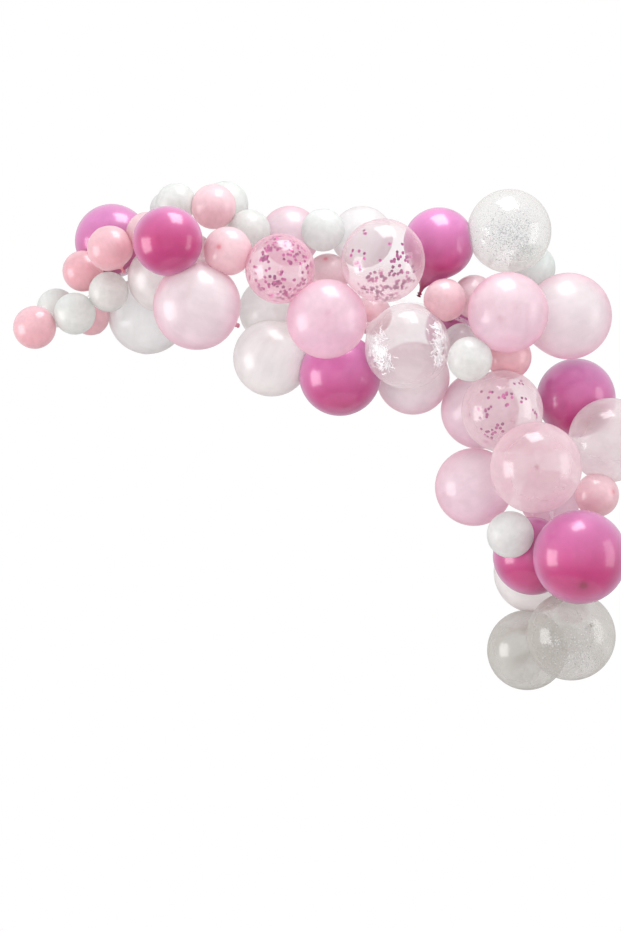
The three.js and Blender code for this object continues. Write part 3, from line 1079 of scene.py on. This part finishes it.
class GARLAND_OT_hot_pink(bpy.types.Operator):
    """Blows up the hot pink pearl balloons"""

    bl_idname = "garland.hot_pink"
    bl_label = "Hot Pink Balloons"

    def execute(self, context):
        # The hot pink has the strongest painted top light: it turns pale lilac towards the top
        skin = latex(
            "Hot Pink Latex", "hot_pink", pearl=0.12, rough=0.45, glow=0.08, coat_rough=0.16, sheen=1.55,
            painted_top_light=0.65,
        )
        blow_up(of_kind("hot_pink"), skin, "hot_pink_latex")
        return {"FINISHED"}


class GARLAND_OT_pearl_pink(bpy.types.Operator):
    """Blows up the pale pink pearl balloons"""

    bl_idname = "garland.pearl_pink"
    bl_label = "Pearl Pink Balloons"

    def execute(self, context):
        skin = latex(
            "Pearl Pink Latex", "pearl_pink", pearl=0.08, rough=0.4, glow=0.42, sheen=1.8, opacity=0.72
        )
        blow_up(of_kind("pearl_pink"), skin, "pearl_pink_latex")
        return {"FINISHED"}


class GARLAND_OT_pearl_white(bpy.types.Operator):
    """Blows up the white pearl balloons, large and small"""

    bl_idname = "garland.pearl_white"
    bl_label = "Pearl White Balloons"

    def execute(self, context):
        skin = latex(
            "Pearl White Latex", "pearl_white", pearl=0.08, rough=0.4, glow=0.42, sheen=1.7, opacity=0.68
        )
        blow_up(of_kind("pearl_white") + of_kind("small_pearl"), skin, "pearl_white_latex")
        return {"FINISHED"}


class GARLAND_OT_clear_pearl(bpy.types.Operator):
    """Blows up the see-through balloons with a pearl haze"""

    bl_idname = "garland.clear_pearl"
    bl_label = "Clear Pearl Balloons"

    def execute(self, context):
        blow_up(of_kind("clear_pearl"), clear_latex("Clear Pearl Latex", rim=0.85), "clear_pearl_latex")
        return {"FINISHED"}


class GARLAND_OT_clear(bpy.types.Operator):
    """Blows up the clear balloons that hold confetti"""

    bl_idname = "garland.clear"
    bl_label = "Clear Balloons"

    def execute(self, context):
        kinds = ("clear_confetti", "clear_glitter", "clear_shred")
        balloons = [b for kind in kinds for b in of_kind(kind)]
        blow_up(balloons, clear_latex("Clear Latex", rim=0.75), "clear_latex")
        return {"FINISHED"}


class GARLAND_OT_confetti(bpy.types.Operator):
    """Fills the clear balloons with dots, fine bits and shreds"""

    bl_idname = "garland.confetti"
    bl_label = "Confetti"

    def execute(self, context):
        c = colours()
        pink = foil("Pink Tissue", c.pink_confetti, metal=0.4, rough=0.3)
        silver = foil("Silver Tissue", c.silver_confetti, metal=0.0, rough=0.4, glow=0.3, opacity=0.85)
        # The white shreds give off painted light, as if lit from within the balloon
        white = foil("White Tissue", c.white_confetti, metal=0.0, rough=0.5, glow=0.35, painted_glow=0.32)
        for node, spots in DOT_SPOTS.items():
            round_dots(BALLOONS[node], spots, pink)
        for node, spots in BIT_SPOTS.items():
            fine_bits(BALLOONS[node], spots, silver)
        for node, spots in SHRED_SPOTS.items():
            paper_shreds(BALLOONS[node], spots, white)
        return {"FINISHED"}


class GARLAND_OT_small_pink(bpy.types.Operator):
    """Blows up the small pink balloons"""

    bl_idname = "garland.small_pink"
    bl_label = "Small Pink Balloons"

    def execute(self, context):
        skin = latex("Soft Pink Latex", "soft_pink", pearl=0.05, rough=0.4, glow=0.3, coat=0.7, opacity=0.9)
        blow_up(of_kind("small_pink"), skin, "soft_pink_latex")
        return {"FINISHED"}


class GARLAND_OT_small_white(bpy.types.Operator):
    """Blows up the small white balloons"""

    bl_idname = "garland.small_white"
    bl_label = "Small White Balloons"

    def execute(self, context):
        skin = latex(
            "White Latex", "white", pearl=0.05, rough=0.42, glow=0.42, coat=0.45, coat_rough=0.18,
            opacity=0.88,
        )
        blow_up(of_kind("small_white"), skin, "white_latex")
        return {"FINISHED"}


class GARLAND_OT_strip(bpy.types.Operator):
    """Presses the clear strip, with moulded rims round its holes"""

    bl_idname = "garland.strip"
    bl_label = "Garland Strip"

    def execute(self, context):
        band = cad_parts[STRIP].data
        points = [tuple(v.co) for v in band.vertices]
        faces = [tuple(p.vertices) for p in band.polygons]
        rim_points, rim_faces = hole_rims()
        first = len(points)
        points += [tuple(p) for p in rim_points]
        faces += [tuple(first + i for i in face) for face in rim_faces]
        strip = mesh_object("clear_strip_band", points, faces, smooth=False)
        strip.data.materials.append(pressed_plastic("Clear Pressed Plastic", colours().strip))
        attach(strip, BODY)
        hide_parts(STRIP)
        return {"FINISHED"}


OPERATORS = [
    GARLAND_OT_stage,
    GARLAND_OT_hot_pink,
    GARLAND_OT_pearl_pink,
    GARLAND_OT_pearl_white,
    GARLAND_OT_clear_pearl,
    GARLAND_OT_clear,
    GARLAND_OT_confetti,
    GARLAND_OT_small_pink,
    GARLAND_OT_small_white,
    GARLAND_OT_strip,
]


class GARLAND_PT_panel(bpy.types.Panel):
    """Lists the garland's settings and steps"""

    bl_idname = "GARLAND_PT_panel"
    bl_label = "Balloon Garland"
    bl_space_type = "VIEW_3D"
    bl_region_type = "UI"
    bl_category = "Garland"

    def draw(self, context):
        for group in SETTINGS:
            settings = getattr(context.scene, group)
            box = self.layout.box()
            for key in settings.__annotations__:
                box.prop(settings, key)
        for operator in OPERATORS:
            self.layout.operator(operator.bl_idname)


CLASSES = [*SETTINGS.values(), *OPERATORS, GARLAND_PT_panel]


def register():
    for cls in CLASSES:
        bpy.utils.register_class(cls)
    for name, cls in SETTINGS.items():
        setattr(bpy.types.Scene, name, PointerProperty(type=cls))


def unregister():
    for name in SETTINGS:
        delattr(bpy.types.Scene, name)
    for cls in reversed(CLASSES):
        bpy.utils.unregister_class(cls)


def main():
    register()
    for operator in OPERATORS:
        group, name = operator.bl_idname.split(".")
        getattr(getattr(bpy.ops, group), name)()


if __name__ == "__main__":
    main()
